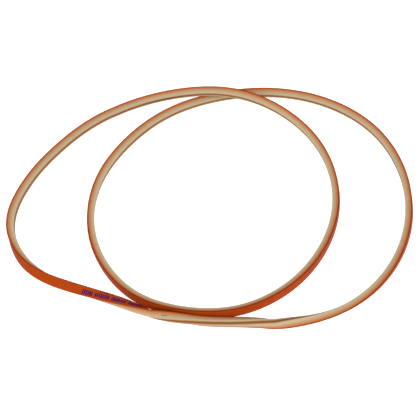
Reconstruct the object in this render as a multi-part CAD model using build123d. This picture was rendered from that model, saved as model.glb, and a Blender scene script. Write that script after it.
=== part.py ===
"""Wrapped V belt, 13 mm class, lying loosely coiled in two loops.

The belt is endless. Every layer follows one closed route that crosses over itself once
and makes one full twist. Each piece is a closed polygon of the belt's section, carried
round that route, so that pieces which are bonded together share the same surfaces.
Millimetres, +Z up, origin on the floor under the middle of the coil.
"""
from build123d import *
import os
import numpy as np

# ---- belt section -------------------------------------------------------------------
top_width = 13.0              # across the orange back
belt_height = 9.0             # back to base
wedge_angle = 40.0            # between the two flanks
cover_outer_thickness = 1.1   # orange top ply
cover_inner_thickness = 1.1   # second orange ply under it
jacket_thickness = 0.5        # beige fabric wrapped round the core
seam_width = 1.8              # gap between the two edges of the jacket, in the base
seam_depth = 0.2              # how far the seam's gum lies below the base
cushion_thickness = 0.7       # rubber over the cords
adhesion_thickness = 1.5      # gum that holds the cords, both layers together
cord_diameter = 0.9
cord_count = 8
cord_margin = 0.6074          # from the jacket to the middle of the outermost cord
cord_sides = 8                # sides of the polygon that stands for a round cord
compression_ply_count = 3     # calendered sheets of the wedge

# ---- coil ---------------------------------------------------------------------------
crossing_clearance = 1.3      # air between the two strands where they cross
station_scale = 1.0           # size of the coil for a longer or a shorter belt
drawn_reach = 11.0            # half the width and half the height that the route is drawn for
outer_lap = range(16, 36)     # places of the route that lie outside the other strand
section_stops = 150           # places round the loop where the section is set
stretch_count = 6             # stretches that each surface is made in
resting_softness = 0.4        # rounds off the change from one resting corner to the next

# The route, clockwise from the crossing: x, y, how far the strand is lifted over the
# one below it (0 on the floor, 1 on top), and the roll in degrees. At roll 0 the back
# faces outwards; a positive roll tips it upwards. The roll ends one turn lower.
route = [
    (28, 156.6, 1.0, -2),
    (85.5, 135, 0.8, 8),
    (130.5, 97.5, 0.2, 13),
    (155, 40, 0.0, 12),
    (154.5, -20, 0.0, 9),
    (134, -73, 0.0, 10),
    (93, -120.5, 0.0, 14),
    (30, -151, 0.0, 18),
    (-34, -151.5, 0.0, 16),
    (-90, -131, 0.0, 9),
    (-128.5, -89, 0.0, -1),
    (-147, -30, 0.0, 5),
    (-140, 27.5, 0.0, 3),
    (-108, 84, 0.0, -8),
    (-54.5, 133.5, 0.0, -6),
    (14, 161.5, 0.0, 0),
    (85, 168, 0.0, 3),
    (151.5, 152, 0.0, 3),
    (209.5, 110.5, 0.0, 7),
    (242.5, 46, 0.0, 10),
    (245.5, -26, 0.0, 12),
    (216.5, -97.5, 0.0, 0),
    (160.7, -149, 0.0, -21),
    (106.2, -166.3, 0.0, -51),
    (86, -167.7, 0.0, -77),
    (66, -168, 0.0, -102),
    (25, -168.6, 0.0, -124),
    (-25, -166, 0.0, -140),
    (-66, -157, 0.0, -196),
    (-111, -140.5, 0.0, -252),
    (-167.7, -120.2, 0.0, -292),
    (-218.8, -90.5, 0.0, -331),
    (-244.2, -41, 0.0, -367),
    (-232.5, 17.5, 0.0, -372),
    (-195.3, 75.3, 0.0, -370),
    (-121.8, 137.3, 0.0, -366),
    (-40, 158.8, 0.7, -362),
]
twist_per_lap = -360.0

# ---- heights in the section, measured up from its middle --------------------------------
back = belt_height / 2
base = -belt_height / 2
cover_seam = back - cover_outer_thickness
cover_bottom = cover_seam - cover_inner_thickness
core_top = cover_bottom - jacket_thickness
cushion_bottom = core_top - cushion_thickness
cord_line = cushion_bottom - adhesion_thickness / 2
adhesion_bottom = cushion_bottom - adhesion_thickness
core_bottom = base + jacket_thickness
flank_slope = np.tan(np.radians(wedge_angle / 2))
jacket_inset = jacket_thickness / np.cos(np.radians(wedge_angle / 2))


def flank(height):
    """Half the width of the whole belt at a height."""
    return top_width / 2 - (back - height) * flank_slope


def core(height):
    """Half the width inside the jacket at a height."""
    return flank(height) - jacket_inset


def loop_rates(places, ends):
    """How fast a periodic cubic through the values changes at each of its places."""
    count = len(ends) - 1
    steps = np.diff(places)
    slopes = (np.diff(ends, axis=0).T / steps).T
    system = np.zeros((count, count))
    right = np.zeros(slopes.shape)
    for i in range(count):
        before = (i - 1) % count
        after = (i + 1) % count
        system[i, before] += steps[i]
        system[i, i] += 2 * (steps[before] + steps[i])
        system[i, after] += steps[before]
        right[i] = 3 * (steps[i] * slopes[before] + steps[before] * slopes[i])
    rates = np.linalg.solve(system, right)
    return np.append(rates, rates[:1], axis=0)


def smooth_loop(places, values, gain):
    """A periodic cubic through the values, which gain the same amount on each lap."""
    count = len(values)
    steps = np.diff(places)
    ends = np.append(values, values[0] + gain)
    rates = loop_rates(places, ends)

    def value_at(place):
        i = np.clip(np.searchsorted(places, place, side="right") - 1, 0, count - 1)
        s = (place - places[i]) / steps[i]
        start = ends[i] * (1 + 2 * s) * (1 - s) ** 2 + ends[i + 1] * s * s * (3 - 2 * s)
        bend = rates[i] * s * (1 - s) ** 2 + rates[i + 1] * s * s * (s - 1)
        return start + steps[i] * bend

    return value_at


def unit(vectors):
    """The same vectors, each one long."""
    return vectors / np.linalg.norm(vectors, axis=1)[:, None]


cord_pitch = 2 * (core(cord_line) - cord_margin) / (cord_count - 1)
corners = [(flank(back), back), (-flank(back), back), (flank(base), base), (-flank(base), base)]


def follow_route():
    """Centre, across and outward vectors of the section at each stop."""
    x, y, lift, roll = np.array(route, dtype=float).T
    spread = np.full(len(route), station_scale)
    reach = np.hypot(x, y)[outer_lap]
    spread[outer_lap] += (top_width / 2 + belt_height / 2 - drawn_reach) / reach
    x = x * spread
    y = y * spread
    runs = np.hypot(np.roll(x, -1) - x, np.roll(y, -1) - y)
    places = np.append(0.0, np.cumsum(runs))
    stops = np.arange(section_stops) * places[-1] / section_stops
    angle = np.radians(smooth_loop(places, roll, twist_per_lap)(stops))
    raised = np.maximum(smooth_loop(places, lift, 0.0)(stops), 0.0)
    drops = [w * np.cos(angle) + h * np.sin(angle) for w, h in corners]
    rest = resting_softness * np.log(np.sum(np.exp(-np.array(drops) / resting_softness), axis=0))
    stack = top_width + crossing_clearance
    middle_x = smooth_loop(places, x, 0.0)(stops)
    middle_y = smooth_loop(places, y, 0.0)(stops)
    middle = np.stack([middle_x, middle_y, rest + raised * stack], axis=1)
    along = unit(np.roll(middle, -1, axis=0) - np.roll(middle, 1, axis=0))
    outward = unit(np.cross([0.0, 0.0, 1.0], along))
    upward = np.cross(along, outward)
    cosine = np.cos(angle)[:, None]
    sine = np.sin(angle)[:, None]
    return middle, cosine * upward - sine * outward, cosine * outward + sine * upward


middle, across, facing = follow_route()
stretch_stops = section_stops // stretch_count
stretch_parameters = [float(i) for i in range(stretch_stops + 1)]
rails = {}


def rail(point):
    """The closed curve that one point of the section follows, as a row of stretches."""
    key = (round(float(point[0]), 5), round(float(point[1]), 5))
    if key not in rails:
        track = middle + key[0] * across + key[1] * facing
        track = np.append(track, track[:1], axis=0)
        rates = loop_rates(np.arange(section_stops + 1.0), track)
        rails[key] = []
        for first in range(0, section_stops, stretch_stops):
            last = first + stretch_stops
            rails[key].append(
                Edge.make_spline(
                    [tuple(place) for place in track[first : last + 1]],
                    tangents=[tuple(rates[first]), tuple(rates[last])],
                    parameters=stretch_parameters,
                    scale=False,
                )
            )
    return rails[key]


def coil_box():
    """The box round the whole coil, which the four corners of the section reach."""
    edges = []
    for corner in corners:
        edges += rail(corner)
    return Compound(edges).bounding_box()


def ring(outline):
    """The solid that a closed polygon of the section makes round the loop."""
    faces = []
    for start, end in zip(outline, outline[1:] + outline[:1]):
        for start_edge, end_edge in zip(rail(start), rail(end)):
            faces.append(Face.make_surface_from_curves(start_edge, end_edge))
    return Solid(Shell(faces))


def band(upper, lower, half_width):
    """A four-sided layer between two heights, out to the width that applies there."""
    return [
        (half_width(upper), upper),
        (-half_width(upper), upper),
        (-half_width(lower), lower),
        (half_width(lower), lower),
    ]


def cord_outline(number):
    """The polygon of one cord, whose flat ends meet the two gum layers."""
    centre = (number - (cord_count - 1) / 2) * cord_pitch
    corner = cord_diameter / 2
    outline = []
    for side in range(cord_sides):
        turn = 2 * np.pi * side / cord_sides
        outline.append((centre + corner * np.cos(turn), cord_line + corner * np.sin(turn)))
    return outline


def cord_edge(upper):
    """Half of every cord's outline in turn, which is the edge of one gum layer."""
    half = cord_sides // 2
    points = []
    for number in range(cord_count):
        outline = cord_outline(number)
        if upper:
            points += outline[half::-1]
        else:
            points += outline[half:] + outline[:1]
    return points


def upper_gum():
    """Gum between the cushion and the cords."""
    sides = [(core(cord_line), cord_line), (core(cushion_bottom), cushion_bottom)]
    far_sides = [(-core(cushion_bottom), cushion_bottom), (-core(cord_line), cord_line)]
    return sides + far_sides + cord_edge(upper=True)


def lower_gum():
    """Gum between the cords and the wedge."""
    sides = [(core(cord_line), cord_line), (core(adhesion_bottom), adhesion_bottom)]
    far_sides = [(-core(adhesion_bottom), adhesion_bottom), (-core(cord_line), cord_line)]
    return (sides + far_sides + cord_edge(upper=False))[::-1]


def jacket():
    """Fabric round the core, open at the seam in the base."""
    seam = seam_width / 2
    right = [(seam, base), (flank(base), base), (flank(cover_bottom), cover_bottom)]
    left = [(-flank(cover_bottom), cover_bottom), (-flank(base), base), (-seam, base)]
    inner_left = [(-seam, base + seam_depth), (-seam, core_bottom), (-core(core_bottom), core_bottom)]
    inner_top = [(-core(core_top), core_top), (core(core_top), core_top)]
    inner_right = [(core(core_bottom), core_bottom), (seam, core_bottom), (seam, base + seam_depth)]
    return right + left + inner_left + inner_top + inner_right


def seam_gum():
    """Brown gum that fills the jacket's seam to a little below the base."""
    seam = seam_width / 2
    return [(seam, core_bottom), (-seam, core_bottom), (-seam, base + seam_depth), (seam, base + seam_depth)]


def compression_ply(number):
    """One sheet of the wedge under the cords, counted from the top."""
    thickness = (adhesion_bottom - core_bottom) / compression_ply_count
    upper = adhesion_bottom - number * thickness
    outline = band(upper, upper - thickness, core)
    if number == compression_ply_count - 1:
        seam = seam_width / 2
        outline[3:3] = [(-seam, core_bottom), (seam, core_bottom)]
    return outline


box = coil_box()
middle = middle - [box.center().X, box.center().Y, box.min.Z]
rails.clear()

outlines = {
    "top_cover_outer_ply": band(back, cover_seam, flank),
    "top_cover_inner_ply": band(cover_seam, cover_bottom, flank),
    "fabric_jacket": jacket(),
    "seam_gum_strip": seam_gum(),
    "cushion_rubber": band(core_top, cushion_bottom, core),
    "upper_adhesion_gum": upper_gum(),
    "lower_adhesion_gum": lower_gum(),
}
for number in range(cord_count):
    outlines[f"tensile_cord_{number + 1}"] = cord_outline(number)
for number in range(compression_ply_count):
    outlines[f"compression_ply_{number + 1}"] = compression_ply(number)

os.makedirs("parts", exist_ok=True)
for name, outline in outlines.items():
    export_step(ring(outline), f"parts/{name}.step")
    print(name)
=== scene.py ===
# %% [markdown]
# # A wrapped V belt, lying in two loose loops
#
# This is a drive belt of the 13 mm class. It has an orange back, beige fabric round the
# rest of the wedge, and a brown line of gum where the fabric's edges meet in the base.
# The belt is endless. Coiled loosely it crosses over itself once and makes one full twist.
#
# The packed CAD model is the frame: it says where everything is. The fabrics that can be
# seen are made here with finer edges, weave, stains and painted shade, and they stand for
# the CAD's plain layers. The rubber and the cords inside keep the CAD's shapes.

# %% Load the frame
import math

import bmesh
import bpy
import numpy as np
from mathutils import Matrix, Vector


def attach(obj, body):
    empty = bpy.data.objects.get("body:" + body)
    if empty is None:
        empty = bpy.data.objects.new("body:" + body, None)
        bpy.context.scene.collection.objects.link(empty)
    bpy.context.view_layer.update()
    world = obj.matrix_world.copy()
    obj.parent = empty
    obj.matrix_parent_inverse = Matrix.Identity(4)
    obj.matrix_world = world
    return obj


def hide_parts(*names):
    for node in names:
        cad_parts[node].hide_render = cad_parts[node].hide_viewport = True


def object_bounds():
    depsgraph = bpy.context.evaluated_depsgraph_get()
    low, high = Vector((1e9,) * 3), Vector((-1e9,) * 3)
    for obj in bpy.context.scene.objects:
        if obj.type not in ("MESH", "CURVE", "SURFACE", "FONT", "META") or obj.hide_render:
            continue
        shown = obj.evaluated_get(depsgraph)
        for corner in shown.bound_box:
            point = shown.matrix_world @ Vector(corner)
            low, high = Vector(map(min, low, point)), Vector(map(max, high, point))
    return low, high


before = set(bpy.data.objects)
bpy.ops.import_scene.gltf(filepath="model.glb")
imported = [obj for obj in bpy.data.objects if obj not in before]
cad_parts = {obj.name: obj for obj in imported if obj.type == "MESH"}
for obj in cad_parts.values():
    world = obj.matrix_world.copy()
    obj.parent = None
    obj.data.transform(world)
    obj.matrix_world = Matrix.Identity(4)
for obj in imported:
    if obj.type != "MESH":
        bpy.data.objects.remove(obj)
cad_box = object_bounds()
MM = 0.001
print("CAD box in mm:", [[round(v / MM, 2) for v in corner] for corner in cad_box])

# %% [markdown]
# ## The route
#
# A belt is a long thing with one section, so everything starts from its line. The line is
# a closed curve through places listed below, the same ones as the CAD's, with the roll of
# the belt at each place. A cubic that joins up with itself runs smoothly through them.

# %% The sizes, in millimetres and degrees
TOP_WIDTH = 13.0
BELT_HEIGHT = 9.0
WEDGE_ANGLE = 40.0
COVER_PLY = 1.1
JACKET = 0.5
SEAM_WIDTH = 1.8
CROSSING_CLEARANCE = 1.3
RESTING_SOFTNESS = 0.4
TWIST_PER_LAP = -360.0
# three rings to a rib, and few enough to keep the jacket under 200,000 triangles
RINGS = 2760
BACK = BELT_HEIGHT / 2
BASE = -BELT_HEIGHT / 2
COVER_SEAM = BACK - COVER_PLY
COVER_BOTTOM = COVER_SEAM - COVER_PLY
SLOPE = math.tan(math.radians(WEDGE_ANGLE / 2))


def flank(height):
    """Half the belt's width at a height in the section."""
    return TOP_WIDTH / 2 - (BACK - height) * SLOPE


print("the belt is", TOP_WIDTH, "mm wide at its back and", round(2 * flank(BASE), 2), "mm at its base")

# %% The places along the belt
# x, y, how far the strand is lifted (0 on the floor, 1 over the other strand), roll
ROUTE = [
    (28, 156.6, 1.0, -2),
    (85.5, 135, 0.8, 8),
    (130.5, 97.5, 0.2, 13),
    (155, 40, 0.0, 12),
    (154.5, -20, 0.0, 9),
    (134, -73, 0.0, 10),
    (93, -120.5, 0.0, 14),
    (30, -151, 0.0, 18),
    (-34, -151.5, 0.0, 16),
    (-90, -131, 0.0, 9),
    (-128.5, -89, 0.0, -1),
    (-147, -30, 0.0, 5),
    (-140, 27.5, 0.0, 3),
    (-108, 84, 0.0, -8),
    (-54.5, 133.5, 0.0, -6),
    (14, 161.5, 0.0, 0),
    (85, 168, 0.0, 3),
    (151.5, 152, 0.0, 3),
    (209.5, 110.5, 0.0, 7),
    (242.5, 46, 0.0, 10),
    (245.5, -26, 0.0, 12),
    (216.5, -97.5, 0.0, 0),
    (160.7, -149, 0.0, -21),
    (106.2, -166.3, 0.0, -51),
    (86, -167.7, 0.0, -77),
    (66, -168, 0.0, -102),
    (25, -168.6, 0.0, -124),
    (-25, -166, 0.0, -140),
    (-66, -157, 0.0, -196),
    (-111, -140.5, 0.0, -252),
    (-167.7, -120.2, 0.0, -292),
    (-218.8, -90.5, 0.0, -331),
    (-244.2, -41, 0.0, -367),
    (-232.5, 17.5, 0.0, -372),
    (-195.3, 75.3, 0.0, -370),
    (-121.8, 137.3, 0.0, -366),
    (-40, 158.8, 0.7, -362),
]
print("the route has", len(ROUTE), "places")


# %% A smooth line through places
def smooth_loop(places, values, gain):
    """A closed cubic through the values, which gain the same amount on each lap."""
    count = len(values)
    steps = np.diff(places)
    ends = np.append(values, values[0] + gain)
    slopes = np.diff(ends) / steps
    system = np.zeros((count, count))
    right = np.zeros(count)
    for i in range(count):
        before = (i - 1) % count
        system[i, before] += steps[i]
        system[i, i] += 2 * (steps[before] + steps[i])
        system[i, (i + 1) % count] += steps[before]
        right[i] = 3 * (steps[i] * slopes[before] + steps[before] * slopes[i])
    rates = np.linalg.solve(system, right)
    rates = np.append(rates, rates[0])

    def value_at(place):
        i = np.clip(np.searchsorted(places, place, side="right") - 1, 0, count - 1)
        s = (place - places[i]) / steps[i]
        start = ends[i] * (1 + 2 * s) * (1 - s) ** 2 + ends[i + 1] * s * s * (3 - 2 * s)
        bend = rates[i] * s * (1 - s) ** 2 + rates[i + 1] * s * s * (s - 1)
        return start + steps[i] * bend

    return value_at


trial = smooth_loop(np.arange(5.0), np.array([0.0, 1.0, 0.0, -1.0]), 0.0)
print("a loop through 0, 1, 0 and -1 is at", round(float(trial(0.5)), 3), "between the first two")

# %% The middle line and the roll
CORNERS = [(w, h) for h in (BACK, BASE) for w in (flank(h), -flank(h))]


def follow_route():
    """The belt's middle line in millimetres and its roll in radians, ring by ring."""
    x, y, lift, roll = np.array(ROUTE, dtype=float).T
    runs = np.hypot(np.roll(x, -1) - x, np.roll(y, -1) - y)
    places = np.append(0.0, np.cumsum(runs))
    stops = np.arange(RINGS) * places[-1] / RINGS
    angle = np.radians(smooth_loop(places, roll, TWIST_PER_LAP)(stops))
    drops = np.array([w * np.cos(angle) + h * np.sin(angle) for w, h in CORNERS])
    # a soft maximum: the corner that touches the floor changes gently as the belt rolls
    rest = RESTING_SOFTNESS * np.log(np.sum(np.exp(-drops / RESTING_SOFTNESS), axis=0))
    raised = np.maximum(smooth_loop(places, lift, 0.0)(stops), 0.0)
    height = rest + raised * (TOP_WIDTH + CROSSING_CLEARANCE)
    level = [smooth_loop(places, values, 0.0)(stops) for values in (x, y)]
    return np.stack([level[0], level[1], height], axis=1), angle


def section_axes(middle, angle):
    """The section's across and outward directions at each ring."""
    along = np.roll(middle, -1, axis=0) - np.roll(middle, 1, axis=0)
    along = along / np.linalg.norm(along, axis=1)[:, None]
    outward = np.cross([0.0, 0.0, 1.0], along)
    outward = outward / np.linalg.norm(outward, axis=1)[:, None]
    upward = np.cross(along, outward)
    cosine = np.cos(angle)[:, None]
    sine = np.sin(angle)[:, None]
    return cosine * upward - sine * outward, cosine * outward + sine * upward


middle, roll_angle = follow_route()
across, facing = section_axes(middle, roll_angle)
tracks = np.concatenate([middle + w * across + h * facing for w, h in CORNERS])
cad_low, cad_high = (np.array(corner) / MM for corner in cad_box)
shift = (cad_low + cad_high - tracks.min(axis=0) - tracks.max(axis=0)) / 2
middle = middle + shift
steps = np.linalg.norm(np.roll(middle, -1, axis=0) - middle, axis=1)
LAP = float(steps.sum())
print("one lap is", round(LAP, 1), "mm; moved by", np.round(shift, 2), "mm")

# %% [markdown]
# ## Small helpers for node trees
#
# Shader maths is easier to read as arithmetic than as boxes and wires. `Value` holds one
# socket, and its operators add the Math nodes. `Nodes.add` makes every other node: its
# settings are set first, because they can change which sockets the node has.


# %% Numbers that come from sockets
class Value:
    """A number that a node gives, which can be used in arithmetic."""

    def __init__(self, nodes, socket):
        self.nodes = nodes
        self.socket = socket

    def math(self, operation, *others):
        inputs = dict(enumerate((self, *others)))
        return self.nodes.add("ShaderNodeMath", {"operation": operation}, inputs)

    def __add__(self, other):
        return self.math("ADD", other)

    def __radd__(self, other):
        return self.math("ADD", other)

    def __sub__(self, other):
        return self.math("SUBTRACT", other)

    def __rsub__(self, other):
        return (self * -1.0) + other

    def __mul__(self, other):
        return self.math("MULTIPLY", other)

    def __rmul__(self, other):
        return self.math("MULTIPLY", other)

    def __truediv__(self, other):
        return self.math("DIVIDE", other)

    def __gt__(self, other):
        return self.math("GREATER_THAN", other)

    def __abs__(self):
        return self.math("ABSOLUTE")

    def __pow__(self, other):
        return self.math("POWER", other)


print("Value has", sum(callable(item) for item in vars(Value).values()), "methods")


# %% Making nodes
class Nodes:
    """Adds nodes to one tree."""

    def __init__(self, tree):
        self.tree = tree

    def add(self, kind, settings=None, inputs=None, output=0):
        """Makes a node and gives one of its outputs as a Value."""
        node = self.tree.nodes.new(kind)
        for name, setting in (settings or {}).items():
            setattr(node, name, setting)
        for key, given in (inputs or {}).items():
            if isinstance(given, Value):
                self.tree.links.new(given.socket, node.inputs[key])
            else:
                node.inputs[key].default_value = given
        if len(node.outputs) == 0:
            return node
        return Value(self, node.outputs[output])

    def other(self, given, output):
        """Another output of the node that gave this value."""
        return Value(self, given.socket.node.outputs[output])


def linear(red, green, blue):
    """A colour in linear light from the 0 to 255 numbers of a colour chart."""
    parts = []
    for part in (red, green, blue):
        s = part / 255
        parts.append(s / 12.92 if s <= 0.04045 else ((s + 0.055) / 1.055) ** 2.4)
    return (*parts, 1.0)


print("middle grey in linear light is", round(linear(128, 128, 128)[0], 3))

# %% [markdown]
# ## Finishes
#
# The jacket is dry woven cloth laid on the bias, so its threads run at 45 degrees to the
# belt. Each thread goes over one and under the next: where the product of two sine waves is
# positive the first set of threads is on top, elsewhere the second. That height drives a
# Bump node and paints a little shade into the hollows. The belt's own UV map, in millimetres
# along and around it, carries the pattern, so the cloth follows the belt through its twist.
#
# Distances around the belt on the same map place orange dye just under the cover, brown gum
# stain and painted shade on the base by the seam, and a band of painted shade at the back's
# corners. Stains come from noise on Object coordinates, which has no seam.


# %% Materials and their parts
def new_material(name):
    """A material and the helper for its tree, with the standard shader ready."""
    material = bpy.data.materials.new(name)
    material.use_nodes = True
    nodes = Nodes(material.node_tree)
    shader = material.node_tree.nodes["Principled BSDF"]
    return material, nodes, shader


def belt_place(nodes):
    """How far along and around the belt a point is, in millimetres."""
    uv = nodes.add("ShaderNodeUVMap", {"uv_map": "belt"})
    along = nodes.add("ShaderNodeSeparateXYZ", inputs={0: uv})
    return along, nodes.other(along, 1)


def blotches(nodes, size):
    """Soft noise from 0 to 1 in lumps of about that many millimetres."""
    place = nodes.add("ShaderNodeTexCoord", output="Object")
    inputs = {"Vector": place, "Scale": 1 / (size * MM), "Detail": 3.0}
    return nodes.add("ShaderNodeTexNoise", {"noise_dimensions": "3D"}, inputs)


def mix(nodes, factor, first, second):
    """Two colours mixed by a factor."""
    inputs = {0: factor, 6: first, 7: second}
    return nodes.add("ShaderNodeMix", {"data_type": "RGBA"}, inputs, output=2)


def ramp(nodes, value, start, end):
    """A value eased from 0 at a start to 1 at an end."""
    inputs = {"Value": value, "From Min": start, "From Max": end}
    return nodes.add("ShaderNodeMapRange", {"interpolation_type": "SMOOTHSTEP"}, inputs)


def bump(nodes, height, strength, distance):
    """A Bump node for a height from 0 to 1, whose full rise is a distance in millimetres."""
    inputs = {"Strength": strength, "Distance": distance * MM, "Height": height}
    return nodes.add("ShaderNodeBump", inputs=inputs)


def use(nodes, given, shader, socket):
    """Feeds a value to one of the shader's sockets."""
    nodes.tree.links.new(given.socket, shader.inputs[socket])


print("finish helpers ready")

# %% The weave
THREAD = 0.62
BIAS_CELLS = 2 * round(LAP / (THREAD * math.sqrt(2)) / 2)
SQUARE_CELLS = 2 * round(LAP / THREAD / 2)
THREAD_ROUNDNESS = 0.6
THREAD_DIP = 0.45


def weave(nodes, first, second):
    """The height, 0 to 1, of a plain weave of two sets of threads one unit wide."""
    wave_1 = (first * math.pi).math("SINE")
    wave_2 = (second * math.pi).math("SINE")
    over = (wave_1 * wave_2) > 0.0
    thread_1 = (abs(wave_2) ** THREAD_ROUNDNESS) * (abs(wave_1) * THREAD_DIP + (1 - THREAD_DIP))
    thread_2 = (abs(wave_1) ** THREAD_ROUNDNESS) * (abs(wave_2) * THREAD_DIP + (1 - THREAD_DIP))
    return thread_1 * over + thread_2 * (1 - over)


print("threads round the belt:", BIAS_CELLS, "on the bias and", SQUARE_CELLS, "square to it")

# %% The jacket's cloth
FLANK_LENGTH = (COVER_BOTTOM - BASE) * math.hypot(1.0, SLOPE)
BEIGE = linear(174, 150, 116)
BEIGE_STAINED = linear(158, 134, 98)
BEIGE_GREYED = linear(174, 156, 128)
BEIGE_DYED = linear(168, 92, 44)
# gum stain by the seam mixed with painted shade on the base
BEIGE_GUM_AND_SHADE = linear(132, 86, 32)
# painted shade for the hollows of the weave
BEIGE_WEAVE_SHADE = linear(104, 80, 52)
BEIGE_STAIN_SIZE = 9.0
# distances down the flank from the cover, in millimetres, and strengths
GREY_STARTS = 2.5
DYE_FADES = 4.5
DYE_FULL = -0.5
DYE_STRENGTH = 0.9
GUM_AND_SHADE_SPREAD = 0.6
GUM_AND_SHADE_STRENGTH = 0.9
BEIGE_WEAVE_SHADE_SHARE = 0.35


def jacket_finish():
    """Beige bias-woven cloth, dyed a little by the cover, darkened towards the seam by gum stain and
    painted shade, with painted shade in the weave's hollows.
    """
    material, nodes, shader = new_material("beige jacket cloth")
    along, around = belt_place(nodes)
    cells = BIAS_CELLS / LAP
    cloth = weave(nodes, (along + around) * cells, (along - around) * cells)
    half_base = flank(BASE) - SEAM_WIDTH / 2
    top_middle = half_base + FLANK_LENGTH + flank(COVER_BOTTOM)
    below_cover = abs(around - top_middle) - flank(COVER_BOTTOM)
    stain = blotches(nodes, BEIGE_STAIN_SIZE)
    pale = mix(nodes, stain, BEIGE, BEIGE_STAINED)
    by_base = ramp(nodes, below_cover, GREY_STARTS, FLANK_LENGTH)
    grey = mix(nodes, by_base, pale, BEIGE_GREYED)
    by_cover = ramp(nodes, below_cover, DYE_FADES, DYE_FULL)
    dyed = mix(nodes, by_cover * DYE_STRENGTH, grey, BEIGE_DYED)
    # the base darkens towards the seam: partly gum stain, partly painted shade
    by_seam = ramp(nodes, below_cover, FLANK_LENGTH - GUM_AND_SHADE_SPREAD, FLANK_LENGTH + half_base)
    gum_and_shade = mix(nodes, by_seam * GUM_AND_SHADE_STRENGTH, dyed, BEIGE_GUM_AND_SHADE)
    # painted shade: the weave's hollows are darkened in the colour
    on_top = cloth * BEIGE_WEAVE_SHADE_SHARE + (1 - BEIGE_WEAVE_SHADE_SHARE)
    use(nodes, mix(nodes, on_top, BEIGE_WEAVE_SHADE, gum_and_shade), shader, "Base Color")
    use(nodes, stain * 0.1 + 0.85, shader, "Roughness")
    use(nodes, bump(nodes, cloth, strength=0.6, distance=0.12), shader, "Normal")
    shader.inputs["Specular IOR Level"].default_value = 0.15
    return material


jacket_cloth = jacket_finish()
print("the flank's cloth is", round(FLANK_LENGTH, 2), "mm wide")

# %% The cover's cloth
COVER_SIDE = COVER_PLY * math.hypot(1.0, SLOPE)
ORANGE = linear(160, 62, 6)
ORANGE_STAINED = linear(144, 50, 0)
# painted shade along the back's rounded corners
ORANGE_CORNER_SHADE = linear(88, 26, 2)
# painted shade for the hollows of the weave
ORANGE_WEAVE_SHADE = linear(118, 30, 0)
ORANGE_STAIN_SIZE = 6.0
# the band of painted shade lies this far past the corner, with these half widths
CORNER_SHADE_MIDDLE = 0.25
CORNER_SHADE_FADES = 0.95
CORNER_SHADE_FULL = 0.45
CORNER_SHADE_STRENGTH = 0.9
ORANGE_WEAVE_SHADE_SHARE = 0.3


def cover_finish():
    """Orange rubber-coated cloth, its weave square to the belt and half filled, with painted shade in
    its hollows and along the back's corners.
    """
    material, nodes, shader = new_material("orange cover cloth")
    along, around = belt_place(nodes)
    cells = SQUARE_CELLS / LAP
    cloth = weave(nodes, along * cells, around * cells)
    stain = blotches(nodes, ORANGE_STAIN_SIZE)
    skin = mix(nodes, stain, ORANGE, ORANGE_STAINED)
    past_corner = abs(around - (COVER_SIDE + TOP_WIDTH / 2)) - TOP_WIDTH / 2
    # painted shade: a dark band along the back's rounded corners
    by_corner = ramp(nodes, abs(past_corner - CORNER_SHADE_MIDDLE), CORNER_SHADE_FADES, CORNER_SHADE_FULL)
    corner_shaded = mix(nodes, by_corner * CORNER_SHADE_STRENGTH, skin, ORANGE_CORNER_SHADE)
    # painted shade: the weave's hollows are darkened in the colour
    on_top = cloth * ORANGE_WEAVE_SHADE_SHARE + (1 - ORANGE_WEAVE_SHADE_SHARE)
    use(nodes, mix(nodes, on_top, ORANGE_WEAVE_SHADE, corner_shaded), shader, "Base Color")
    use(nodes, stain * 0.12 + 0.55, shader, "Roughness")
    use(nodes, bump(nodes, cloth, strength=0.45, distance=0.08), shader, "Normal")
    shader.inputs["Specular IOR Level"].default_value = 0.06
    return material


cover_cloth = cover_finish()
print("the cover's side is", round(COVER_SIDE, 2), "mm wide")

# %% The second ply's cut edge
CUT_ORANGE = linear(152, 64, 8)
CUT_ORANGE_THREADS = linear(172, 82, 22)


def cover_edge_finish():
    """The second orange ply, whose threads end in its cut edge."""
    material, nodes, shader = new_material("orange cover cut edge")
    along, _ = belt_place(nodes)
    threads = abs((along * (SQUARE_CELLS / LAP * math.pi)).math("SINE"))
    use(nodes, mix(nodes, threads, CUT_ORANGE, CUT_ORANGE_THREADS), shader, "Base Color")
    use(nodes, bump(nodes, threads, strength=0.5, distance=0.1), shader, "Normal")
    shader.inputs["Roughness"].default_value = 0.75
    shader.inputs["Specular IOR Level"].default_value = 0.15
    return material


cover_edge = cover_edge_finish()
print("made", cover_edge.name)

# %% Rubber and ink
GRAIN_SIZE = 1.6
WEAR_SIZE = 0.9


def gum_finish(name, colour, roughness):
    """Plain rubber with faint mottling."""
    material, nodes, shader = new_material(name)
    grain = blotches(nodes, GRAIN_SIZE)
    darker = tuple(part * 0.7 for part in colour[:3]) + (1.0,)
    use(nodes, mix(nodes, grain, darker, colour), shader, "Base Color")
    use(nodes, grain * 0.15 + (roughness - 0.07), shader, "Roughness")
    use(nodes, bump(nodes, grain, strength=0.3, distance=0.08), shader, "Normal")
    shader.inputs["Specular IOR Level"].default_value = 0.25
    return material


def ink_finish(name, colour, worn_colour):
    """Printing ink, worn thin in places."""
    material, nodes, shader = new_material(name)
    wear = ramp(nodes, blotches(nodes, WEAR_SIZE), start=0.45, end=0.75)
    use(nodes, mix(nodes, wear, colour, worn_colour), shader, "Base Color")
    use(nodes, wear * 0.3 + 0.5, shader, "Roughness")
    shader.inputs["Specular IOR Level"].default_value = 0.1
    return material


seam_gum = gum_finish("brown seam gum", linear(122, 66, 10), roughness=0.7)
purple_ink = ink_finish("purple ink", linear(48, 2, 72), linear(92, 8, 30))
dark_ink = ink_finish("dark ink", linear(44, 4, 16), linear(88, 14, 6))
grey_ink = ink_finish("grey ink", linear(74, 68, 66), linear(112, 100, 88))
print("made", len(bpy.data.materials), "materials")

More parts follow.
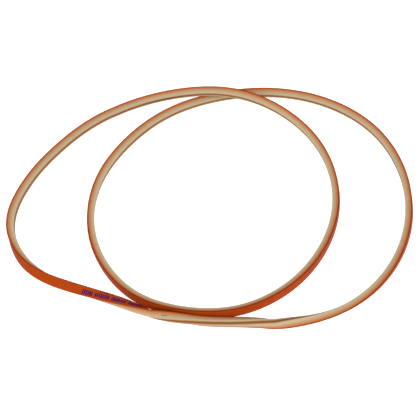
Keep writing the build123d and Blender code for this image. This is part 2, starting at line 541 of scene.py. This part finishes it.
# %% [markdown]
# ## The route as a curve
#
# A sweep needs a curve to follow. Each of its points carries a tilt, which is the belt's
# roll. With its normals kept level by "Z Up", the tilt alone says how the section stands.


# %% The guide curve
def closed_curve(name, points, tilts=None, weights=None):
    """A closed curve of straight runs between points in metres."""
    curve = bpy.data.curves.new(name, "CURVE")
    curve.dimensions = "3D"
    spline = curve.splines.new("POLY")
    spline.points.add(len(points) - 1)
    flat = np.column_stack([points, np.ones(len(points))]).astype(np.float32)
    spline.points.foreach_set("co", flat.ravel())
    if tilts is not None:
        spline.points.foreach_set("tilt", np.asarray(tilts, dtype=np.float32))
    if weights is not None:
        spline.points.foreach_set("radius", np.asarray(weights, dtype=np.float32))
    spline.use_cyclic_u = True
    return curve


route_curve = closed_curve("belt route", middle * MM, roll_angle)
print("route has", len(route_curve.splines[0].points), "points")

# %% [markdown]
# ## The sections
#
# Pressed and cured in a mould, the belt's layers have soft corners. Each section is an
# outline in the belt's own measures: `w` across it and `h` up from its middle to its back.
# A corner with a radius becomes an arc that touches both of its sides.


# %% Outlines with soft corners
def soften(corners, arc_points=4):
    """An outline whose corners (w, h, radius) are rounded where the radius isn't 0."""
    outline = []
    count = len(corners)
    for i, (w, h, radius) in enumerate(corners):
        here = np.array([w, h])
        if radius == 0:
            outline.append(here)
            continue
        before = np.array(corners[i - 1][:2]) - here
        after = np.array(corners[(i + 1) % count][:2]) - here
        before = before / np.linalg.norm(before)
        after = after / np.linalg.norm(after)
        half = math.acos(np.clip(np.dot(before, after), -1.0, 1.0)) / 2
        start = here + before * radius / math.tan(half)
        end = here + after * radius / math.tan(half)
        inward = (before + after) / np.linalg.norm(before + after)
        centre = here + inward * radius / math.sin(half)
        for k in range(arc_points):
            t = k / (arc_points - 1)
            place = (start - centre) * (1 - t) + (end - centre) * t
            outline.append(centre + place * radius / np.linalg.norm(place))
    return np.array(outline)


trial = soften([(1, 1, 0.2), (-1, 1, 0.2), (-1, -1, 0), (1, -1, 0)])
print("a square with two softened corners has", len(trial), "points")


# %% The layers' outlines
def cover_section():
    """The outer orange ply, slightly crowned and with soft upper corners."""
    crown = 0.06
    corner = 0.45
    parts = 6
    top = []
    for k in range(1, parts):
        w = flank(BACK) * (1 - 2 * k / parts)
        top.append((w, BACK + crown * (1 - (w / flank(BACK)) ** 2), 0))
    right = [(flank(COVER_SEAM), COVER_SEAM, 0), (flank(BACK), BACK, corner)]
    left = [(-flank(BACK), BACK, corner), (-flank(COVER_SEAM), COVER_SEAM, 0)]
    return soften(right + top + left)


def cover_edge_section():
    """The inner orange ply, set in a little at its cut edges."""
    inset = 0.05
    corner = 0.1
    upper = flank(COVER_SEAM) - inset
    lower = flank(COVER_BOTTOM) - inset
    outline = [(upper, COVER_SEAM, corner), (-upper, COVER_SEAM, corner)]
    outline += [(-lower, COVER_BOTTOM, corner), (lower, COVER_BOTTOM, corner)]
    return soften(outline, arc_points=3)


def jacket_section():
    """The cloth round the core: slightly hollow flanks, soft corners, open at the seam."""
    seam = SEAM_WIDTH / 2
    hollow = 0.1
    seam_corner = 0.15
    base_corner = 0.55
    cover_corner = 0.12
    inset = JACKET / math.cos(math.radians(WEDGE_ANGLE / 2))
    right = [(seam, BASE, seam_corner), (flank(BASE), BASE, base_corner)]
    for t in (0.25, 0.5, 0.75):
        h = BASE + t * (COVER_BOTTOM - BASE)
        right.append((flank(h) - hollow * 4 * t * (1 - t), h, 0))
    right.append((flank(COVER_BOTTOM), COVER_BOTTOM, cover_corner))
    left = [(-w, h, r) for w, h, r in reversed(right)]
    top = COVER_BOTTOM - JACKET
    bottom = BASE + JACKET
    inner = [(-seam, bottom, 0), (inset - flank(bottom), bottom, 0), (inset - flank(top), top, 0)]
    inner += [(-w, h, r) for w, h, r in reversed(inner)]
    return soften(right + left + inner)


def seam_section():
    """Gum in the seam, its face bulging a little between the cloth's edges."""
    seam = SEAM_WIDTH / 2
    sunk = 0.2
    bulge = 0.08
    corner = 0.12
    bottom = BASE + JACKET
    face = BASE + sunk
    behind = [(seam, bottom, 0), (-seam, bottom, 0)]
    front = [(-seam, face, corner), (0, face - bulge, 0), (seam, face, corner)]
    return soften(behind + front)


for make in (cover_section, cover_edge_section, jacket_section, seam_section):
    print(make.__name__, "has", len(make()), "points")

# %% [markdown]
# ## Sweeping a section along the route
#
# A Geometry Nodes tree carries a section along the route. It keeps the distance along and
# around the belt as attributes, lifts faint crosswise ribs where the section asks for them,
# and ends in plain faces with a material. Modelling each ring by hand would do the same,
# but a tree can be read and changed: its inputs are the belt's own sizes.


# %% Parts of a Geometry Nodes tree
def new_tree(name, inputs):
    """A Geometry Nodes tree with named inputs, and its helper and group input."""
    tree = bpy.data.node_groups.new(name, "GeometryNodeTree")
    tree.interface.new_socket("Geometry", in_out="INPUT", socket_type="NodeSocketGeometry")
    for label, kind in inputs.items():
        tree.interface.new_socket(label, in_out="INPUT", socket_type=kind)
    tree.interface.new_socket("Geometry", in_out="OUTPUT", socket_type="NodeSocketGeometry")
    nodes = Nodes(tree)
    start = nodes.add("NodeGroupInput")
    given = {label: nodes.other(start, label) for label in inputs}
    return tree, nodes, nodes.other(start, "Geometry"), given


def named(nodes, name, kind="FLOAT"):
    """A value stored on the geometry under a name."""
    return nodes.add("GeometryNodeInputNamedAttribute", {"data_type": kind}, {"Name": name})


def store(nodes, geometry, name, value, kind="FLOAT"):
    """The geometry with a value stored on its points."""
    settings = {"data_type": kind, "domain": "POINT"}
    inputs = {"Geometry": geometry, "Name": name, "Value": value}
    return nodes.add("GeometryNodeStoreNamedAttribute", settings, inputs)


def scaled(nodes, vector, factor):
    """A vector times a number."""
    return nodes.add("ShaderNodeVectorMath", {"operation": "SCALE"}, {0: vector, "Scale": factor})


def level_curve(nodes, curve):
    """The curve with its normals kept level, so that its tilt alone is the belt's roll."""
    return nodes.add("GeometryNodeSetCurveNormal", {"mode": "Z_UP"}, {"Curve": curve})


def finish_tree(nodes, geometry, material):
    """Ends a tree in plain faces with a material."""
    plain = nodes.add("GeometryNodeRealizeInstances", inputs={"Geometry": geometry})
    painted = nodes.add("GeometryNodeSetMaterial", inputs={"Geometry": plain, "Material": material})
    nodes.add("NodeGroupOutput", inputs={0: painted})


print("tree helpers ready")


# %% The sweep tree
def sweep_tree():
    """Carries a section round the route."""
    inputs = {
        "Section": "NodeSocketObject",
        "Rib pitch": "NodeSocketFloat",
        "Rib height": "NodeSocketFloat",
        "Finish": "NodeSocketMaterial",
    }
    tree, nodes, route, given = new_tree("sweep a section round the belt", inputs)
    length = nodes.add("GeometryNodeSplineParameter", output="Length")
    guide = store(nodes, level_curve(nodes, route), "along", length)
    section = nodes.add("GeometryNodeObjectInfo", inputs={"Object": given["Section"]}, output="Geometry")
    section = store(nodes, section, "around", length)
    section = store(nodes, section, "ribbed", nodes.add("GeometryNodeInputRadius"))
    swept = nodes.add("GeometryNodeCurveToMesh", inputs={"Curve": guide, "Profile Curve": section})
    turns = named(nodes, "along") / given["Rib pitch"]
    wave = (turns * math.tau).math("COSINE") * given["Rib height"] * named(nodes, "ribbed")
    offset = scaled(nodes, nodes.add("GeometryNodeInputNormal"), wave)
    ribbed = nodes.add("GeometryNodeSetPosition", inputs={"Geometry": swept, "Offset": offset})
    finish_tree(nodes, ribbed, given["Finish"])
    return tree


sweep = sweep_tree()
print("sweep tree has", len(sweep.nodes), "nodes")


# %% Turning a tree's result into a plain piece
def socket_name(tree, label):
    """The identifier that a modifier uses for one of a tree's inputs."""
    for item in tree.interface.items_tree:
        if item.in_out == "INPUT" and item.name == label:
            return item.identifier
    raise KeyError(label)


def run_tree(name, curve, tree, settings):
    """A plain mesh object made by a tree from a curve."""
    guide = bpy.data.objects.new(name + " guide", curve)
    bpy.context.collection.objects.link(guide)
    modifier = guide.modifiers.new("tree", "NODES")
    modifier.node_group = tree
    for label, value in settings.items():
        modifier[socket_name(tree, label)] = value
    graph = bpy.context.evaluated_depsgraph_get()
    mesh = bpy.data.meshes.new_from_object(guide.evaluated_get(graph))
    mesh.name = name
    bpy.data.objects.remove(guide)
    piece = bpy.data.objects.new(name, mesh)
    bpy.context.collection.objects.link(piece)
    return piece


print("a piece's rib pitch is set by the modifier's", socket_name(sweep, "Rib pitch"))


# %% Laying the cloth out flat
def unwrap(values, lap):
    """Corner values of each four-sided face, joined up where the lap starts again."""
    faces = values.reshape(-1, 4)
    high = faces.max(axis=1, keepdims=True)
    return np.where(high - faces > lap / 2, faces + lap, faces).ravel()


def lay_out_cloth(piece, perimeter):
    """Gives a swept piece its UV map, in millimetres along and around the belt."""
    mesh = piece.data
    corner_points = np.empty(len(mesh.loops), dtype=np.int32)
    mesh.loops.foreach_get("vertex_index", corner_points)
    columns = []
    for name, lap in (("along", LAP), ("around", perimeter)):
        values = np.empty(len(mesh.vertices), dtype=np.float32)
        mesh.attributes[name].data.foreach_get("value", values)
        columns.append(unwrap(values[corner_points] / MM, lap))
    layer = mesh.uv_layers.new(name="belt")
    layer.data.foreach_set("uv", np.column_stack(columns).astype(np.float32).ravel())
    for name in ("along", "around", "ribbed"):
        mesh.attributes.remove(mesh.attributes[name])


print("across the lap's joint,", unwrap(np.array([LAP - 1, LAP - 1, 0, 0]), LAP).round(1))

# %% The outer layers
RIB_COUNT = RINGS // 3
RIB_HEIGHT = 0.03


def swept_piece(name, section, material, ribbed=None, rib_height=0.0):
    """One layer of the belt, swept round the route, ribbed where the section's weight is 1."""
    flat = np.column_stack([-section[:, 1], -section[:, 0], np.zeros(len(section))]) * MM
    curve = closed_curve(name + " section", flat, weights=ribbed)
    outline = bpy.data.objects.new(curve.name, curve)
    bpy.context.collection.objects.link(outline)
    settings = {
        "Section": outline,
        "Rib pitch": LAP / RIB_COUNT * MM,
        "Rib height": rib_height * MM,
        "Finish": material,
    }
    piece = run_tree(name, route_curve, sweep, settings)
    bpy.data.objects.remove(outline)
    edges = np.linalg.norm(np.roll(section, -1, axis=0) - section, axis=1)
    lay_out_cloth(piece, float(edges.sum()))
    piece.data.shade_smooth()
    print(name, "has", len(piece.data.polygons), "faces")
    return piece


outline = cover_section()
cover = swept_piece("orange_back", outline, cover_cloth, outline[:, 1] > BACK, RIB_HEIGHT)
edge = swept_piece("orange_under_ply", cover_edge_section(), cover_edge)
jacket = swept_piece("beige_jacket", jacket_section(), jacket_cloth)
seam = swept_piece("seam_gum", seam_section(), seam_gum)

for piece, node, slot in (
    (cover, "top_cover_outer_ply", "orange_cover_fabric"),
    (edge, "top_cover_inner_ply", "orange_cover_fabric"),
    (jacket, "fabric_jacket", "beige_jacket_fabric"),
    (seam, "seam_gum_strip", "brown_seam_gum"),
):
    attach(piece, "root")
    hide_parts(node)

# %% [markdown]
# ## Printed marks
#
# A second tree prints a row of marks on one face of the belt. It samples the route every
# few millimetres, turns from the back towards the face that is asked for, and stands a
# small mark there. Marks of different widths, with a gap after every few, look like a
# line of print without being letters. `Turn` is 0 for the orange back.


# %% Where the marks stand
def along_route(nodes, route, given, index):
    """Each mark's place on the middle line, the line's direction there and the way out."""
    sampling = {"mode": "LENGTH", "use_all_curves": True}
    where = {"Curves": level_curve(nodes, route), "Length": index * given["Pitch"] + given["First"]}
    place = nodes.add("GeometryNodeSampleCurve", sampling, where, output="Position")
    tangent = nodes.other(place, "Tangent")
    turning = {"Vector": nodes.other(place, "Normal"), "Axis": tangent, "Angle": given["Turn"]}
    turned = nodes.add("ShaderNodeVectorRotate", {"rotation_type": "AXIS_ANGLE"}, turning)
    return place, tangent, scaled(nodes, turned, -1.0)


def random_number(nodes, low, high, seed):
    """A number between two limits for each mark."""
    inputs = {2: low, 3: high, "Seed": seed}
    return nodes.add("FunctionNodeRandomValue", {"data_type": "FLOAT"}, inputs, output=1)


def moved(nodes, place, way, distance):
    """A place moved along a direction."""
    inputs = {0: place, 1: scaled(nodes, way, distance)}
    return nodes.add("ShaderNodeVectorMath", {"operation": "ADD"}, inputs)


print("place helpers ready")

# %% The marking tree
SCATTER_SEED = 3
WIDTH_SEED = 8
LENGTH_SEED = 5
SHORTEST = 0.8
MARK_INPUTS = {
    "Mark": "NodeSocketObject",
    "First": "NodeSocketFloat",
    "Pitch": "NodeSocketFloat",
    "Count": "NodeSocketInt",
    "Group": "NodeSocketInt",
    "Turn": "NodeSocketFloat",
    "Height": "NodeSocketFloat",
    "Across": "NodeSocketFloat",
    "Scatter": "NodeSocketFloat",
    "Narrowest": "NodeSocketFloat",
    "Finish": "NodeSocketMaterial",
}


def row_of_points(nodes, route, given):
    """Points on one face of the belt, a gap after every group, each with its rotation."""
    index = nodes.add("GeometryNodeInputIndex")
    place, tangent, outward = along_route(nodes, route, given, index)
    across_way = {0: tangent, 1: outward}
    sideways = nodes.add("ShaderNodeVectorMath", {"operation": "CROSS_PRODUCT"}, across_way)
    wander = random_number(nodes, -1.0, 1.0, SCATTER_SEED)
    aside = wander * given["Scatter"] + given["Across"]
    raised = moved(nodes, place, outward, given["Height"])
    points = {"Count": given["Count"], "Position": moved(nodes, raised, sideways, aside)}
    row = nodes.add("GeometryNodePoints", inputs=points)
    axes = {"primary_axis": "Z", "secondary_axis": "X"}
    ways = {"Primary Axis": outward, "Secondary Axis": tangent}
    rotation = nodes.add("FunctionNodeAxesToRotation", axes, ways)
    facing_row = store(nodes, row, "facing", rotation, "QUATERNION")
    gap = index.math("MODULO", given["Group"]).math("COMPARE", given["Group"] - 1.0, 0.1)
    removal = {"Geometry": facing_row, "Selection": gap}
    return nodes.add("GeometryNodeDeleteGeometry", {"domain": "POINT"}, removal)


def marking_tree():
    """Prints a row of marks along one face of the belt."""
    tree, nodes, route, given = new_tree("print a row of marks", MARK_INPUTS)
    width = random_number(nodes, given["Narrowest"], 1.0, WIDTH_SEED)
    length = random_number(nodes, SHORTEST, 1.0, LENGTH_SEED)
    mark = nodes.add("GeometryNodeObjectInfo", inputs={"Object": given["Mark"]}, output="Geometry")
    standing = {
        "Points": row_of_points(nodes, route, given),
        "Instance": mark,
        "Rotation": named(nodes, "facing", "QUATERNION"),
        "Scale": nodes.add("ShaderNodeCombineXYZ", inputs={0: width, 1: length, 2: 1.0}),
    }
    finish_tree(nodes, nodes.add("GeometryNodeInstanceOnPoints", inputs=standing), given["Finish"])
    return tree


marking = marking_tree()
print("marking tree has", len(marking.nodes), "nodes")

# %% The shapes of the marks
INK_THICKNESS = 0.1
BAR_CORNER = 0.2


def mark_object(name, shape):
    """An object from a finished shape."""
    mesh = bpy.data.meshes.new(name)
    shape.to_mesh(mesh)
    shape.free()
    mark = bpy.data.objects.new(name, mesh)
    bpy.context.collection.objects.link(mark)
    return mark


def bar_mark(name, width, length):
    """A flat bar in millimetres, with soft corners."""
    shape = bmesh.new()
    bmesh.ops.create_cube(shape, size=1.0)
    bmesh.ops.scale(shape, vec=(width * MM, length * MM, INK_THICKNESS * MM), verts=shape.verts)
    upright = [e for e in shape.edges if abs(e.verts[0].co.z - e.verts[1].co.z) > 0]
    bmesh.ops.bevel(shape, geom=upright, offset=width * BAR_CORNER * MM, segments=2, affect="EDGES")
    return mark_object(name, shape)


def dot_mark(name, width, sides):
    """A flat round dot in millimetres."""
    shape = bmesh.new()
    radius = width / 2 * MM
    sizes = {"radius1": radius, "radius2": radius, "depth": INK_THICKNESS * MM}
    bmesh.ops.create_cone(shape, cap_ends=True, segments=sides, **sizes)
    return mark_object(name, shape)


bar = bar_mark("ink bar", 1.9, 6.8)
dash = bar_mark("ink dash", 3.0, 2.2)
dot = dot_mark("ink dot", 1.5, 12)
print("a bar has", len(bar.data.polygons), "faces, a dot has", len(dot.data.polygons))

# %% The rows of marks
# the flank that looks forward where the dots are, and how far out it lies
FLANK_TURN = -math.radians(90 + WEDGE_ANGLE / 2)
FLANK_DISTANCE = flank(0.0) * math.cos(math.radians(WEDGE_ANGLE / 2))


def printed_row(name, mark, material, counts, lengths, turn=0.0, narrowest=1.0):
    """One row of marks: how many and in what groups, lengths in millimetres, turn in radians."""
    settings = {"Mark": mark, "Finish": material, "Turn": turn, "Narrowest": narrowest}
    settings.update(counts)
    for label, length in lengths.items():
        settings[label] = length * MM
    piece = run_tree(name, route_curve, marking, settings)
    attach(piece, "root")
    print(name, "has", len(piece.data.polygons), "faces")


printed_row(
    "printed_line",
    bar,
    purple_ink,
    {"Count": 33, "Group": 9},
    {"First": 1711.0, "Pitch": 2.3, "Height": BACK + 0.05, "Across": -0.9, "Scatter": 0.35},
    narrowest=0.7,
)
printed_row(
    "printed_dashes",
    dash,
    dark_ink,
    {"Count": 18, "Group": 6},
    {"First": 1706.0, "Pitch": 3.6, "Height": BACK + 0.03, "Across": 5.0, "Scatter": 0.1},
    narrowest=0.6,
)
printed_row(
    "inspection_dots",
    dot,
    grey_ink,
    {"Count": 3, "Group": 9},
    {"First": 1679.0, "Pitch": 2.2, "Height": FLANK_DISTANCE + 0.1, "Across": 0.4, "Scatter": 0.1},
    turn=FLANK_TURN,
    narrowest=0.9,
)
for mark in (bar, dash, dot):
    bpy.data.objects.remove(mark)

# %% [markdown]
# ## The layers inside
#
# The rubber and the cords can't be seen on a whole belt. They keep the CAD's shapes, and
# only their finishes are set here, so that a cut through the model shows what is what.

# %% Finishes of the hidden layers
INSIDE = {
    "cushion_rubber": gum_finish("cushion rubber", linear(62, 60, 57), 0.7),
    "upper_adhesion_gum": gum_finish("adhesion gum", linear(84, 76, 66), 0.65),
    "compression_ply_": gum_finish("wedge rubber", linear(52, 51, 50), 0.75),
    "tensile_cord_": gum_finish("cord yarn", linear(222, 212, 190), 0.8),
}
INSIDE["lower_adhesion_gum"] = INSIDE["upper_adhesion_gum"]
for name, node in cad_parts.items():
    kind = name.rstrip("0123456789")
    if kind in INSIDE:
        node.data.materials.clear()
        node.data.materials.append(INSIDE[kind])
print("painted", len(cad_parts), "nodes")

# %% [markdown]
# ## Floor, light and camera
#
# A pale floor and broad soft lights show the belt as it lies. The camera looks down at it
# from the front.


# %% The floor and the sky
FLOOR_SIZE = 12.0
FLOOR_DROP = 0.0002
FLOOR_GLOW = 0.45
SKY_STRENGTH = 0.8


def floor():
    """A wide pale floor, just under the belt."""
    bpy.ops.mesh.primitive_plane_add(size=FLOOR_SIZE, location=(0, 0, -FLOOR_DROP))
    plane = bpy.context.object
    material, _, shader = new_material("pale floor")
    shader.inputs["Base Color"].default_value = (0.9, 0.9, 0.9, 1.0)
    shader.inputs["Roughness"].default_value = 0.9
    shader.inputs["Emission Color"].default_value = (1.0, 1.0, 1.0, 1.0)
    shader.inputs["Emission Strength"].default_value = FLOOR_GLOW
    plane.data.materials.append(material)


def sky(strength):
    """Even white light from all round."""
    world = bpy.data.worlds.new("studio")
    world.use_nodes = True
    world.node_tree.nodes["Background"].inputs["Color"].default_value = (1, 1, 1, 1)
    world.node_tree.nodes["Background"].inputs["Strength"].default_value = strength
    bpy.context.scene.world = world


floor()
sky(SKY_STRENGTH)
print("the floor is", FLOOR_SIZE, "m wide")


# %% The lights and the camera
def soft_light(name, place, size, power):
    """A square area light that points at the middle of the coil."""
    light = bpy.data.lights.new(name, "AREA")
    light.size = size
    light.energy = power
    lamp = bpy.data.objects.new(name, light)
    lamp.location = place
    lamp.rotation_euler = (-lamp.location).to_track_quat("-Z", "Y").to_euler()
    bpy.context.collection.objects.link(lamp)


def camera(elevation, distance, lens, shift_x, shift_y):
    """A camera in front of the coil that looks down at its middle."""
    data = bpy.data.cameras.new("camera")
    data.lens = lens
    data.shift_x = shift_x
    data.shift_y = shift_y
    eye = bpy.data.objects.new("camera", data)
    tip = math.radians(elevation)
    eye.location = (0, -distance * math.cos(tip), distance * math.sin(tip))
    eye.rotation_euler = (math.radians(90) - tip, 0, 0)
    bpy.context.collection.objects.link(eye)
    bpy.context.scene.camera = eye


soft_light("overhead", place=(-0.4, -0.2, 2.0), size=1.8, power=7.0)
soft_light("front", place=(0.3, -1.35, 1.6), size=1.8, power=38.0)
camera(elevation=58.0, distance=1.5, lens=102.86, shift_x=-0.003, shift_y=-0.0133)
bpy.context.scene.view_settings.view_transform = "Standard"
print("the camera stands at", [round(v, 3) for v in bpy.context.scene.camera.location])
